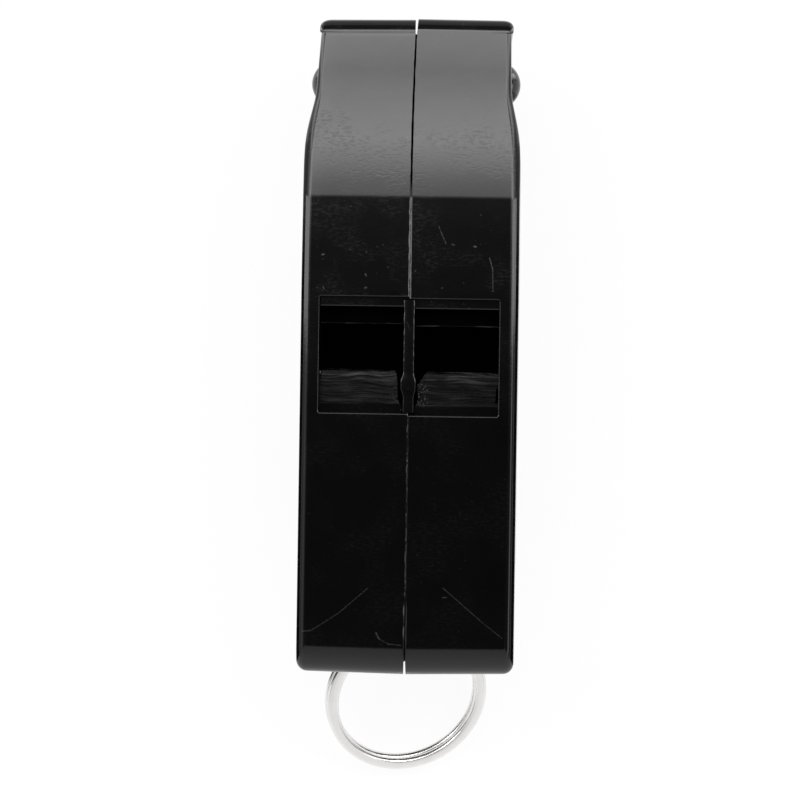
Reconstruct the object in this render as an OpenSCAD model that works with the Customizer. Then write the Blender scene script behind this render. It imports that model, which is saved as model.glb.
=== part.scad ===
// Pealess sports whistle: two welded shells, a centre plate between them and a split ring in its eye.
// The origin is on the underside, at mid-length on the seam. +Y points to the mouthpiece, +Z up.

/* [Body] */
// Length from the rear end to the tip of the mouthpiece
body_length = 58; // [57:0.5:62]
// Width across both shells
body_width = 19.1; // [18.6:0.1:20.5]
// Height from the rest face to the flat top
body_height = 20; // [19.5:0.25:21.5]
// Thickness of the side walls, also beside the windows
side_wall = 1.675; // [1.4:0.025:1.9]
// Thickness of the wall behind each chamber
rear_wall = 1.8; // [1.6:0.1:2.4]
// Radius of the upper edge of the rear end
rear_round = 2.1; // [1.8:0.1:2.4]
// Radius of the rear corners seen from above
rear_corner = 1; // [0.8:0.1:1.4]
// Radius of the long edges of the body
long_edge_round = 0.85; // [0.6:0.05:1.1]
// Lean of each shell's end faces away from the seam, in degrees
end_draft = 1.2; // [0.8:0.1:1.6]

/* [Mouthpiece] */
// Height of the mouthpiece at the tip
mouth_height = 9; // [8.5:0.1:9.4]
// Width of the mouthpiece behind the rolled edge
mouth_width = 16.8; // [16.3:0.1:17.3]
// Distance from the tip back to the end of the flat top
slope_to_tip = 16.7; // [16.2:0.1:17.5]
// Radius of the bend where the flat top turns down
crest_round = 7; // [6.6:0.1:7.4]
// Radius of the hollow in the slope
hollow_round = 70; // [60:1:80]
// Steepest angle of the slope, in degrees
slope_angle = 14.5; // [13.5:0.5:16]
// Fall of the mouthpiece's top towards the tip, in degrees
mouth_angle = 12; // [11:0.5:13]
// Distance from the tip back to the end of the flat underside
belly_to_tip = 18; // [17.6:0.1:18.2]
// Radius of both bends in the underside
belly_round = 7.2; // [6.8:0.1:7.4]
// Distance from the tip back to the narrow end of the shoulders
shoulder_to_tip = 4.7; // [4.4:0.1:5.2]
// Length of the shoulders
shoulder_length = 7.9; // [7.4:0.1:8.4]
// Radius of the tip's upper and lower edges
nose_round = 1.15; // [1:0.05:1.3]
// How far the tip's upper and lower edges stand out of the mouthpiece
nose_proud = 0.02; // [0.01:0.01:0.1]
// Radius of the rolled edge down each side of the tip
bead_round = 0.65; // [0.5:0.05:0.8]
// How far that rolled edge stands out of the side
bead_proud = 0.2; // [0.1:0.02:0.3]
// Diameter of the grip pips where they leave the side
pip_diameter = 3.3; // [2.8:0.1:3.8]
// How far the grip pips stand out
pip_proud = 0.95; // [0.6:0.05:1.1]
// Distance from the tip back to the middle of the grip pips
pip_to_tip = 5.75; // [5.2:0.05:6.2]

/* [Windows] */
// Distance from the rear end to the rear edge of the two top windows
window_to_rear = 22.9; // [21.9:0.1:23.9]
// Distance from the rear end to the rear edge of the window in the underside
under_window_to_rear = 29.6; // [29.2:0.1:29.7]
// Length of a window
window_length = 10.2; // [10:0.05:10.4]
// Depth of the step round a window
window_step = 0.9; // [0.8:0.05:1]
// Length of the flat ledge at each end of a window
ledge_length = 0.85; // [0.7:0.05:0.9]
// Length of the ramp that leads down to the blade's edge
ramp_length = 3; // [2.9:0.05:3.2]
// Fall of the ramp
ramp_drop = 0.5; // [0.4:0.05:0.6]
// Radius of the blade's edge
lip_round = 0.25; // [0.2:0.01:0.3]
// How far the windway's floor reaches past its roof
floor_reach = 1.1; // [0.9:0.05:1.2]

/* [Windways and chambers] */
// Thickness of the wall outside a windway
roof_wall = 1.3; // [1.2:0.05:1.4]
// Height of a windway
windway_height = 1.4; // [1.2:0.05:1.6]
// Thickness of the wall between a windway and its chamber
windway_floor = 1.3; // [1.1:0.05:1.5]
// Thickness of the partition between the upper and the lower chamber
partition_wall = 1.4; // [1.3:0.05:1.5]
// Distance from the tip back to the front of the chambers
chamber_to_tip = 13; // [12.6:0.1:13.6]

/* [Notch for the ring] */
// Length of the notch under the rear end
notch_length = 9; // [8.6:0.1:9.6]
// Height of the notch's roof above the rest face
notch_height = 10.5; // [10.3:0.1:10.8]
// Thickness of the wall between the notch and the chamber above it
notch_wall = 1.5; // [1.3:0.05:1.7]
// Radius of the notch's inner corner
notch_corner = 2.5; // [1.5:0.1:3]
// Radius of the notch's two outer edges
notch_edge = 1.2; // [0.8:0.1:1.4]

/* [Centre plate] */
// Thickness of the plate
plate_thick = 1; // [0.9:0.05:1.1]
// Depth of the plate's upper edge under the shells' outer surface
plate_cover = 1; // [0.9:0.05:1.1]
// Distance from the tip back to the plate
plate_to_tip = 1.4; // [1.2:0.1:1.6]
// Distance from the rear end to the plate
plate_to_rear = 1.2; // [1.1:0.05:1.3]
// Distance from the front of the chambers to the step in the plate's lower edge
keel_setback = 1; // [0.8:0.1:1.4]
// Wall between the plate's lower edge and the lower windway
keel_cover = 0.6; // [0.5:0.05:0.7]
// Gap at each end of the plate's land in the window
land_gap = 0.1; // [0.08:0.01:0.14]
// Diameter of the two pegs that line up the shells
peg_diameter = 1.6; // [1.2:0.1:1.7]
// How far the pegs reach into the second shell
peg_reach = 2; // [1.6:0.1:3]
// Distance from the tip back to the front peg
peg_to_tip = 4.5; // [4.2:0.1:5]
// Distance between the two pegs
peg_spacing = 5; // [4.4:0.1:5.4]

/* [Ring eye] */
// Distance from the rear end to the middle of the eye
eye_to_rear = 3.4; // [3.3:0.05:3.8]
// Height of the middle of the eye above the rest face
eye_height = 7.2; // [7:0.05:7.4]
// Bore of the eye
eye_bore = 3; // [2.9:0.05:3.1]
// Width of the rim round the eye's bore
eye_rim = 1.2; // [1:0.1:1.5]
// Thickness of the eye
eye_thick = 2; // [1.6:0.1:2.2]
// Gap between the thick part of the eye and the notch's roof
eye_gap = 0.1; // [0.08:0.02:0.2]

/* [Split ring] */
// Outside diameter of the ring
ring_diameter = 15; // [14.5:0.1:16]
// Width of the flat wire, across the ring
wire_width = 1.1; // [1:0.05:1.2]
// Thickness of the flat wire, along the ring's axis
wire_thick = 0.75; // [0.65:0.01:0.78]
// Gap between the two turns
turn_gap = 0.05; // [0.03:0.01:0.08]
// Angle over which the wire crosses from one turn to the other, in degrees
cross_angle = 24; // [20:1:30]
// How much less the wire measures on each side where it crosses
cross_slim = 0.03; // [0.02:0.005:0.05]
// Angle round the ring from the eye to the middle of that crossing, in degrees
cross_place = 50; // [40:1:60]
// Sideways lean of the ring in its eye, in degrees
ring_lean = 15.5; // [10:0.5:16]
// How far the ring has slid round to the left in its eye, in degrees
ring_slid = 2.7; // [0:0.1:4]
// Gap between the ring's lowest point and the surface that the whistle lies on
ring_clear = 0.05; // [0.02:0.01:0.2]

/* [Fits] */
// Gap of the seam between the shells
seam_gap = 0.16; // [0.1:0.01:0.2]
// Gap round the plate's edge and the pegs
fit_gap = 0.05; // [0.03:0.01:0.06]

/* [Hidden] */
$fn = 48;
arc_steps = 10;
slice_sides = 16;
// Angle by which the crossing starts inside each turn
cross_lap = 0.5;
// How far a cut runs past the surface that it opens
overrun = 1;

rear_y = -body_length / 2;
front_y = body_length / 2;
half_width = body_width / 2;
crest_y = front_y - slope_to_tip;
belly_y = front_y - belly_to_tip;
notch_y = rear_y + notch_length;
draft_slope = tan(end_draft);

// Direction straight out of a surface that falls at an angle
function facing(angle) = [sin(angle), cos(angle)];
function reversed(points) = [for (i = [len(points) - 1:-1:0]) points[i]];
// Points along an arc from one angle to another
function arc(centre, radius, from, to) =
    [for (i = [0:arc_steps]) let (a = from + (to - from) * i / arc_steps)
        centre + radius * [cos(a), sin(a)]];
// A surface that lies level, bends down, bends back and runs straight to an end, moved inwards by a depth
function falling_line(start, level, first, second, steep, gentle, end, depth) =
    let (
        inner = [start, level - first],
        outer = inner + (first + second) * facing(steep),
        foot = outer - (second + depth) * facing(gentle)
    )
    concat(
        [for (i = [0:arc_steps]) inner + (first - depth) * facing(steep * i / arc_steps)],
        [for (i = [1:arc_steps])
            outer - (second + depth) * facing(steep + (gentle - steep) * i / arc_steps)],
        [[end, foot[1] - (end - foot[0]) * tan(gentle)]]
    );
function top_line(end, depth) =
    falling_line(crest_y, body_height, crest_round, hollow_round, slope_angle, mouth_angle, end, depth);

mouth_line = top_line(front_y, 0);
mouth_top = mouth_line[len(mouth_line) - 1][1];
mouth_bottom = mouth_top - mouth_height;
mouth_middle = mouth_bottom + mouth_height / 2;
nose_y = front_y - nose_round;
nose_top = mouth_top + nose_round * tan(mouth_angle) + nose_proud - nose_round;
nose_bottom = mouth_bottom - nose_proud + nose_round;

// The underside, drawn as a surface that faces up at level 0 and is turned over where it is used
belly_angle = acos(1 - mouth_bottom / (2 * belly_round));
function belly_line(end, depth) =
    falling_line(belly_y, 0, belly_round, belly_round, belly_angle, 0, end, depth);
function turned_over(points) = [for (p = points) [p[0], -p[1]]];

// The side of the body seen from above, as [y, x] pairs
shoulder_depth = (body_width - mouth_width) / 2;
shoulder_angle = 2 * atan(shoulder_depth / shoulder_length);
shoulder_round = shoulder_length / (2 * sin(shoulder_angle));
shoulder_y = front_y - shoulder_to_tip - shoulder_length;
function side_line(end, depth) =
    falling_line(shoulder_y, half_width, shoulder_round, shoulder_round, shoulder_angle, 0, end, depth);
function swapped(points) = [for (p = points) [p[1], p[0]]];

windway_depth = roof_wall + windway_height;
chamber_depth = windway_depth + windway_floor;
blade_depth = window_step + ramp_drop + 2 * lip_round;
chamber_floor = notch_height + notch_wall;
lower_roof = chamber_floor - partition_wall;
chamber_front = front_y - chamber_to_tip;

plate_rear = rear_y + plate_to_rear;
plate_front = front_y - plate_to_tip;
plate_low = chamber_floor - partition_wall / 2;
plate_corner = rear_round - plate_cover;
keel_low = mouth_bottom + windway_depth + keel_cover;
keel_rear = chamber_front + keel_setback;
land_rear = rear_y + window_to_rear + land_gap;
land_front = rear_y + window_to_rear + window_length - land_gap;
peg_height = (keel_low + mouth_top - windway_depth) / 2;
peg_places = [front_y - peg_to_tip, front_y - peg_to_tip - peg_spacing];

eye_y = rear_y + eye_to_rear;
eye_outer = eye_bore + 2 * eye_rim;

ring_round = ring_diameter / 2;
ring_reach = ring_round - wire_width / 2;
turn_pitch = wire_thick + turn_gap;
slice_thick = wire_thick / 40;
// Height of the ring's lowest point when it hangs back at an angle under the level
function ring_low(fall) =
    let (
        upright = cos(fall) * cos(ring_lean),
        slid_up = sin(ring_slid) * sin(ring_lean) * cos(fall)
    )
    eye_height - ring_reach * (cos(ring_slid) * sin(fall) - slid_up)
        - (ring_round - wire_thick / 2) * sqrt(1 - upright * upright)
        - upright * turn_pitch / 2 - wire_thick / 2;
// The angle at which the ring's far edge comes down to the surface, found by halving
function rest_fall(low, high, tries) =
    tries == 0 ? (low + high) / 2 :
    ring_low((low + high) / 2) > ring_clear ? rest_fall((low + high) / 2, high, tries - 1) :
    rest_fall(low, (low + high) / 2, tries - 1);
ring_fall = rest_fall(0, 80, 40);

// Extrudes an outline of [y, z] points across the body
module across(from, to)
    translate([from, 0, 0])
        rotate([90, 0, 90])
            linear_extrude(to - from)
                children();

// Extrudes an outline of [x, y] points up through the body
module upright()
    translate([0, 0, -overrun])
        linear_extrude(body_height + 2 * overrun)
            children();

// Extrudes an outline of [x, z] points along the body
module lengthwise()
    translate([0, front_y + overrun, 0])
        rotate([90, 0, 0])
            linear_extrude(body_length + 2 * overrun)
                children();

// The body seen from the side
module side_outline() {
    polygon(concat(
        arc([notch_y + notch_edge, notch_edge], notch_edge, 180, 270),
        turned_over(belly_line(nose_y, 0)),
        reversed(top_line(nose_y, 0)),
        arc([rear_y + rear_round, body_height - rear_round], rear_round, 90, 180),
        arc([rear_y + notch_edge, notch_height + notch_edge], notch_edge, 180, 270),
        arc([notch_y - notch_corner, notch_height - notch_corner], notch_corner, 90, 0)
    ));
    translate([nose_y - nose_round, nose_bottom])
        square([2 * nose_round, nose_top - nose_bottom]);
    translate([nose_y, nose_top])
        circle(nose_round);
    translate([nose_y, nose_bottom])
        circle(nose_round);
}

// Half of the body seen from above
module plan_outline() {
    corner_x = half_width - rear_corner;
    bead_x = mouth_width / 2 + bead_proud - bead_round;
    drafted_y = front_y - bead_round - bead_x * draft_slope;
    polygon(concat(
        [[0, rear_y]],
        arc([corner_x, rear_y + rear_corner + corner_x * draft_slope], rear_corner, -90, 0),
        swapped(side_line(drafted_y, 0)),
        [[bead_x, drafted_y], [bead_x, drafted_y + bead_round], [0, front_y]]
    ));
    translate([bead_x, drafted_y])
        circle(bead_round);
}

// The space inside the side walls seen from above
module inner_outline()
    polygon(concat(
        [[-overrun, rear_y], [half_width - side_wall, rear_y]],
        swapped(side_line(front_y + overrun, side_wall)),
        [[-overrun, front_y + overrun]]
    ));

// The body's section, with its long edges rounded
module section_outline() {
    low = long_edge_round;
    high = body_height - long_edge_round;
    wide = half_width - long_edge_round;
    polygon(concat(
        arc([wide, low], long_edge_round, -90, 0),
        arc([wide, high], long_edge_round, 0, 90),
        arc([-wide, high], long_edge_round, 90, 180),
        arc([-wide, low], long_edge_round, 180, 270)
    ));
}

// A window under a surface that faces up: step, ledges, ramp, blade edge and the opening in front of it
module window_outline(window_rear, level) {
    window_front = window_rear + window_length;
    opening_front = window_front - ledge_length;
    step_z = level - window_step;
    lip_y = window_rear + ledge_length + ramp_length - lip_round;
    lip_z = step_z - ramp_drop - lip_round;
    deep = level - windway_depth;
    polygon(concat(
        [[window_rear, level + overrun], [window_rear, step_z], [window_rear + ledge_length, step_z]],
        arc([lip_y, lip_z], lip_round, 90, -90),
        [[lip_y, deep], [opening_front, deep], [opening_front, step_z]],
        [[window_front, step_z], [window_front, level + overrun]]
    ));
}

// A chamber and its windway under a surface that faces up, given by the windway's roof and floor lines
module air_outline(window_rear, level, chamber_rear, bottom, roof_line, floor_line, deep_line) {
    opening_front = window_rear + window_length - ledge_length;
    floor_edge = opening_front - floor_reach;
    intersection() {
        polygon(concat(
            [[chamber_rear, bottom], [front_y, bottom]],
            reversed(deep_line),
            [[floor_edge, level - chamber_depth], [floor_edge, level - blade_depth]],
            [[chamber_rear, level - blade_depth]]
        ));
        translate([chamber_rear, bottom])
            square([chamber_front - chamber_rear, level - bottom]);
    }
    polygon(concat(
        [[opening_front, level - roof_wall]],
        roof_line,
        reversed(floor_line),
        [[floor_edge, level - windway_depth]]
    ));
    window_outline(window_rear, level);
}

// All the air on the upper side of a shell
module upper_air_outline()
    air_outline(
        rear_y + window_to_rear, body_height, rear_y + rear_wall, chamber_floor,
        top_line(front_y + overrun, roof_wall),
        top_line(front_y + overrun, windway_depth),
        top_line(front_y, chamber_depth)
    );

// All the air on the lower side of a shell
module lower_air_outline()
    mirror([0, 1, 0])
        air_outline(
            rear_y + under_window_to_rear, 0, notch_y + rear_wall, -lower_roof,
            belly_line(front_y + overrun, roof_wall),
            belly_line(front_y + overrun, windway_depth),
            belly_line(front_y, chamber_depth)
        );

// The flat of the plate, grown by a gap on every edge
module plate_outline(gap) {
    upper = body_height - plate_cover + gap;
    rear = plate_rear - gap;
    polygon(concat(
        [[rear, plate_low - gap], [keel_rear - gap, plate_low - gap]],
        [[keel_rear - gap, keel_low - gap], [plate_front + gap, keel_low - gap]],
        reversed(top_line(plate_front + gap, plate_cover - gap)),
        [[land_front, upper], [land_front, body_height], [land_rear, body_height], [land_rear, upper]],
        arc([rear + plate_corner, upper - plate_corner], plate_corner, 90, 180)
    ));
}

// The eye's side view down from the plate, grown by a gap
module eye_outline(gap, top) {
    translate([eye_y, eye_height])
        circle(eye_outer / 2 + gap);
    translate([eye_y - eye_outer / 2 - gap, eye_height])
        square([eye_outer + 2 * gap, top - eye_height]);
}

// Where the two shells stand apart along the seam; under the plate they meet
module seam_outline() {
    translate([rear_y - overrun, plate_low])
        square([body_length + 2 * overrun, body_height]);
    translate([rear_y - overrun, 0])
        square([plate_to_rear + overrun, body_height]);
    translate([plate_front, -overrun])
        square([plate_to_tip + overrun, body_height]);
}

// Round pip on the side of the mouthpiece, for the teeth to hold
module grip_pip() {
    pip_ball = (pip_diameter * pip_diameter / 4 + pip_proud * pip_proud) / (2 * pip_proud);
    translate([mouth_width / 2 + pip_proud - pip_ball, front_y - pip_to_tip, mouth_middle])
        sphere(pip_ball);
}

// One half of the body, on the +X side, without pegs or sockets
module half_shell()
    difference() {
        union() {
            intersection() {
                across(0, body_width)
                    side_outline();
                upright()
                    plan_outline();
                lengthwise()
                    section_outline();
            }
            grip_pip();
        }
        intersection() {
            across(-overrun, body_width)
                upper_air_outline();
            upright()
                inner_outline();
        }
        intersection() {
            across(-overrun, body_width)
                lower_air_outline();
            upright()
                inner_outline();
        }
        across(-overrun, seam_gap / 2)
            seam_outline();
        across(-overrun, plate_thick / 2) {
            plate_outline(fit_gap);
            eye_outline(fit_gap, plate_low);
        }
    }

// Pegs or their holes, across the body
module pegs(radius, from, to)
    for (y = peg_places)
        translate([from, y, peg_height])
            rotate([0, 90, 0])
                cylinder(h = to - from, r = radius);

module left_shell()
    color("#1b1b1d") {
        mirror([1, 0, 0])
            half_shell();
        pegs(peg_diameter / 2, -plate_thick / 2 - peg_reach, plate_thick / 2 + peg_reach);
    }

module right_shell()
    color("#202023")
        difference() {
            half_shell();
            pegs(peg_diameter / 2 + fit_gap, 0, plate_thick / 2 + peg_reach + fit_gap);
        }

module centre_plate()
    color("#2b2b30")
        difference() {
            union() {
                across(-plate_thick / 2, plate_thick / 2) {
                    plate_outline(0);
                    eye_outline(0, plate_low + fit_gap);
                }
                across(-eye_thick / 2, eye_thick / 2)
                    eye_outline(0, notch_height - eye_gap);
            }
            translate([-eye_thick, eye_y, eye_height])
                rotate([0, 90, 0])
                    cylinder(h = 2 * eye_thick, r = eye_bore / 2);
            pegs(peg_diameter / 2 + fit_gap, -plate_thick, plate_thick);
        }

// Section of the ring's wire at its place on the ring, less an amount on each side
module wire_section(less)
    translate([ring_reach, 0]) {
        edge = (wire_width - wire_thick) / 2;
        round = wire_thick / 2 - less;
        translate([-edge, -round])
            square([2 * edge, 2 * round]);
        for (side = [-edge, edge])
            translate([side, 0])
                circle(round);
    }

// A thin slice of the wire at an angle and height on the ring
module wire_slice(angle, height)
    rotate([0, 0, angle])
        translate([0, slice_thick / 2, height])
            rotate([90, 0, 0])
                linear_extrude(slice_thick)
                    wire_section(cross_slim, $fn = slice_sides);

// The ring flat in its own plane: one wire, two turns, with a crossing between them
module ring_wire() {
    half_cross = cross_angle / 2;
    for (side = [-1, 1])
        rotate([0, 0, half_cross])
            translate([0, 0, side * turn_pitch / 2])
                rotate_extrude(angle = 360 - cross_angle)
                    wire_section(0);
    hull() {
        wire_slice(-half_cross - cross_lap, -turn_pitch / 2);
        wire_slice(half_cross + cross_lap, turn_pitch / 2);
    }
}

module split_ring()
    color("silver")
        translate([0, eye_y, eye_height])
            rotate([ring_fall, 0, 0])
                rotate([0, ring_lean, 0])
                    rotate([0, 0, -ring_slid])
                        translate([0, -ring_reach, 0])
                            rotate([0, 0, 90 - cross_place])
                                ring_wire();

left_shell();
right_shell();
centre_plate();
split_ring();
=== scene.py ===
from math import cos, exp, hypot, pi, radians, sin, sqrt, tan

import bmesh
import bpy
from mathutils import Matrix, Vector, noise


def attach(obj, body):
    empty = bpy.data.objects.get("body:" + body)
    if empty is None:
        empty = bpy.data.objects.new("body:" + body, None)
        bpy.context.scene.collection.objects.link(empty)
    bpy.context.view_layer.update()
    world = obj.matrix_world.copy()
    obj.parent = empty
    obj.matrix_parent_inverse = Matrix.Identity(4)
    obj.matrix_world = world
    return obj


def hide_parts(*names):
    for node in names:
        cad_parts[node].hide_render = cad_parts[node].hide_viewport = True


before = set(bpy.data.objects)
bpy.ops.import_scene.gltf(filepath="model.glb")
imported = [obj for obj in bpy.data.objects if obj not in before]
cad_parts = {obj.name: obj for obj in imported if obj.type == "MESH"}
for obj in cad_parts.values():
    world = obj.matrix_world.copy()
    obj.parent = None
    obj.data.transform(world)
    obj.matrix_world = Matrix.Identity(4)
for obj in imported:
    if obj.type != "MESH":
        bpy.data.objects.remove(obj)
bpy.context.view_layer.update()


# Left half of the body, one injection moulding in gloss black ABS with its blades and partitions.
# Two pegs on it locate the plate and the right half before the halves are welded ultrasonically.
# All sizes are in millimetres until a piece is finished.
MM = 0.001
FRONT, REAR, HALF_WIDTH, HEIGHT = 29.0, -29.0, 9.55, 20.0
SIDE_WALL, SEAT_GAP = 1.675, 0.05
PEG_PLACES, PEG_HEIGHT, PEG_RADIUS, PEG_REACH, PEG_EDGE = (24.5, 19.5), 12.335, 0.8, 2.5, 0.2
WINDOW_REAR, WINDOW_FRONT, UNDER_WINDOW_REAR, WINDOW_LENGTH = -6.1, 4.1, 0.6, 10.2
# Depths under the outside: the step round a window, the windway's roof and floor, and the
# undersides of that floor and of the blade.
STEP, WINDWAY_ROOF, WINDWAY_FLOOR, FLOOR_UNDER, BLADE_UNDER = 0.9, 1.3, 2.7, 4.0, 1.9
LEDGE, BLADE_FALL = 0.85, radians(4.0)
# Cuts run this far past the face that they open.
OVERRUN = 1.0


def round_height(radius, away):
    """Height of a round at a distance from its middle, and 0 beyond it."""
    return sqrt(max(0.0, radius ** 2 - away ** 2))


def falling(y, depth, start, level, first, second, steep, gentle):
    """Height of a surface that lies level, bends down, bends back and runs on, at a depth under it."""
    steep, gentle = radians(steep), radians(gentle)
    inner_z = level - first
    outer_y = start + (first + second) * sin(steep)
    outer_z = inner_z + (first + second) * cos(steep)
    foot_y = outer_y - (second + depth) * sin(gentle)
    if y <= start:
        return level - depth
    if y <= start + (first - depth) * sin(steep):
        return inner_z + round_height(first - depth, y - start)
    if y <= foot_y:
        return outer_z - round_height(second + depth, outer_y - y)
    return outer_z - (second + depth) * cos(gentle) - (y - foot_y) * tan(gentle)


# The lines that the inner faces follow: where each bends, its radii and its falls in degrees.
TOP_LINE = {"start": 12.3, "level": HEIGHT, "first": 7.0, "second": 70.0, "steep": 14.5, "gentle": 12.0}
UNDER_LINE = {"start": 11.0, "level": 0.0, "first": 7.2, "second": 7.2, "steep": 61.5, "gentle": 0.0}
SIDE_LINE = {"start": 16.4, "level": HALF_WIDTH, "first": 13.856, "second": 13.856, "steep": 16.564,
             "gentle": 0.0}


def top(y, depth=0.0):
    return falling(y, depth, **TOP_LINE)


def under(y, depth=0.0):
    return -falling(y, depth, **UNDER_LINE)


def side(y, depth=0.0):
    return falling(y, depth, **SIDE_LINE)


def between(low, high, count):
    return [low + (high - low) * i / count for i in range(count + 1)]


def arc(centre, radius, start, stop, steps):
    angles = [radians(a) for a in between(start, stop, steps)]
    return [(centre[0] + radius * cos(a), centre[1] + radius * sin(a)) for a in angles]


def circle(centre, radius, count=48):
    return arc(centre, radius, 0.0, 360.0 - 360.0 / count, count - 1)


def run_share(y, start, run):
    """0 up to a start, 1 past the end of a run, and even in between."""
    return min(1.0, max(0.0, (y - start) / run))


def wander(y, step, seed):
    """Smooth random value of about -1 to 1 that changes over a step along the body."""
    return 2.0 * noise.noise(Vector((y / step, seed, 0.37)))


# The top as moulded, as (y, fall in degrees): it sinks a little before the bend, which is
# short, and is steepest half way down the slope.
SLOPES = [(4.1, 0.0), (9.0, 0.3), (12.8, 1.4), (13.15, 8.8), (14.0, 9.6), (18.2, 15.0),
          (21.0, 13.3), (24.3, 11.0), (27.4, 12.3), (30.0, 12.3)]
SLOPE_STEP, SLOPE_COUNT = 0.05, 510
# The side line in the same way: a slight taper, the flare, and a soft run into the mouthpiece.
SIDE_SLOPES = [(4.1, 0.1), (11.0, 0.3), (12.5, 0.0), (15.6, 0.0), (17.2, 2.6), (18.1, 6.0), (19.0, 10.2),
               (19.9, 12.6), (21.2, 12.8), (21.8, 8.0), (22.4, 4.2), (23.5, 2.7), (24.8, 2.1), (30.0, 2.0)]


def run_down(start, slopes):
    """Levels at every step in front of the windows, from a list of falls."""
    levels = [start]
    for i in range(SLOPE_COUNT):
        y = slopes[0][0] + (i + 0.5) * SLOPE_STEP
        for (y0, a0), (y1, a1) in zip(slopes, slopes[1:]):
            if y0 <= y <= y1:
                angle = a0 + (a1 - a0) * (y - y0) / (y1 - y0)
        levels.append(levels[-1] - SLOPE_STEP * tan(radians(angle)))
    return levels


def level_at(levels, y):
    place = max(0.0, (y - SLOPES[0][0]) / SLOPE_STEP)
    i = int(place)
    return levels[i] + (levels[i + 1] - levels[i]) * (place - i)


top_levels = run_down(HEIGHT, SLOPES)
side_levels = run_down(HALF_WIDTH, SIDE_SLOPES)

# The tip: upper and lower edge round, a smaller roll down each side, and a faint groove
# behind the roll.
NOSE_ROUND, NOSE_LOW = 1.45, 8.97
TIP_FALL = radians(SLOPES[-1][1])
NOSE_START = FRONT - NOSE_ROUND + NOSE_ROUND * sin(TIP_FALL)
NOSE_TOP = level_at(top_levels, NOSE_START) - NOSE_ROUND * cos(TIP_FALL)
BEAD_ROUND, BEAD_BACK, BEAD_START, BEAD_OUT = 0.8, 0.22, 27.72, 8.58
GROOVE_PLACE, GROOVE_WIDTH = 27.64, 0.14
# The rear end: a long round over the top edge and a small one at each corner.
REAR_BEND, REAR_ROUND, CORNER_ROUND = -26.5, 2.1, 1.0


def nose_swell(y):
    return round_height(NOSE_ROUND, y - FRONT + NOSE_ROUND)


def moulded_top(y, groove=0.0):
    """Height of the finished top surface, with the rear round, the tip and a shallow groove behind it."""
    y = min(max(y, REAR), FRONT)
    if y < REAR_BEND:
        along = (REAR_BEND - y) / (REAR_BEND - REAR)
        return HEIGHT - REAR_ROUND + REAR_ROUND * round_height(1.0, along)
    if y <= SLOPES[0][0]:
        return HEIGHT
    if y > NOSE_START:
        return NOSE_TOP + nose_swell(y)
    return level_at(top_levels, y) - groove * exp(-((y - GROOVE_PLACE) / GROOVE_WIDTH) ** 2)


def moulded_side(y):
    """Half width of the finished side, with the rear corner and the roll at the tip."""
    corner, nose = REAR + CORNER_ROUND, FRONT - BEAD_ROUND
    if y < corner:
        return HALF_WIDTH - CORNER_ROUND + round_height(CORNER_ROUND, corner - y)
    if y > nose:
        return BEAD_OUT - BEAD_ROUND + round_height(BEAD_ROUND, y - nose)
    wall = level_at(side_levels, y)
    if y > BEAD_START:
        back = BEAD_START + BEAD_BACK - min(y, BEAD_START + BEAD_BACK)
        return max(wall, BEAD_OUT - BEAD_BACK + round_height(BEAD_BACK, back))
    return wall


def moulded_under(y):
    return NOSE_LOW - nose_swell(y) if y > FRONT - NOSE_ROUND else under(y)


def lofted(rings):
    """Closed mesh through rings of points, with flat ends."""
    mesh = bmesh.new()
    rows = [[mesh.verts.new(p) for p in ring] for ring in rings]
    for near, far in zip(rows, rows[1:]):
        for i in range(len(near)):
            j = (i + 1) % len(near)
            mesh.faces.new((near[i], near[j], far[j], far[i]))
    mesh.faces.new(list(reversed(rows[0])))
    mesh.faces.new(rows[-1])
    bmesh.ops.recalc_face_normals(mesh, faces=mesh.faces)
    return mesh


def stacked(sections):
    """Closed mesh through outlines of (y, z) points, each with its x."""
    return lofted([[(x, y, z) for y, z in outline] for x, outline in sections])


def across(outline, low, high):
    return stacked([(low, outline), (high, outline)])


def oblong(rear, front, low, high):
    return [(rear, low), (front, low), (front, high), (rear, high)]


def windway(line, start, stop, steps):
    """Passage from the seam to the inner side line, between its floor and roof under an outer line."""
    rings = []
    for y in between(start, stop, steps):
        outer, floor, roof = side(y, SIDE_WALL), line(y, WINDWAY_FLOOR), line(y, WINDWAY_ROOF)
        rings.append([(x, y, z) for x, z in oblong(-OVERRUN, outer, floor, roof)])
    return lofted(rings)


def rounded_pit(x0, x1, y0, y1, floor, level, corner, rim):
    """Pocket from a level down to a floor, with round corners in plan and a softened rim."""
    open_out, above = 1.4, 0.3
    heights = [(0.0, floor)]
    for a in between(0.0, radians(78.0), 6):
        heights.append((rim * (1.0 - cos(a)), level - rim + rim * sin(a)))
    heights.append((heights[-1][0] + open_out, level + above))
    rings = []
    for grow, z in heights:
        ring = []
        for cx, cy, start in ((x1, y1, 0.0), (x0, y1, 90.0), (x0, y0, 180.0), (x1, y0, 270.0)):
            sx = -1 if cx == x1 else 1
            sy = -1 if cy == y1 else 1
            centre = (cx + sx * corner, cy + sy * corner)
            ring += [(x, y, z) for x, y in arc(centre, corner + grow, start, start + 90.0, 6)]
        rings.append(ring)
    return lofted(rings)


def as_object(name, mesh):
    data = bpy.data.meshes.new(name)
    mesh.to_mesh(data)
    mesh.free()
    thing = bpy.data.objects.new(name, data)
    bpy.context.scene.collection.objects.link(thing)
    return thing


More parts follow.
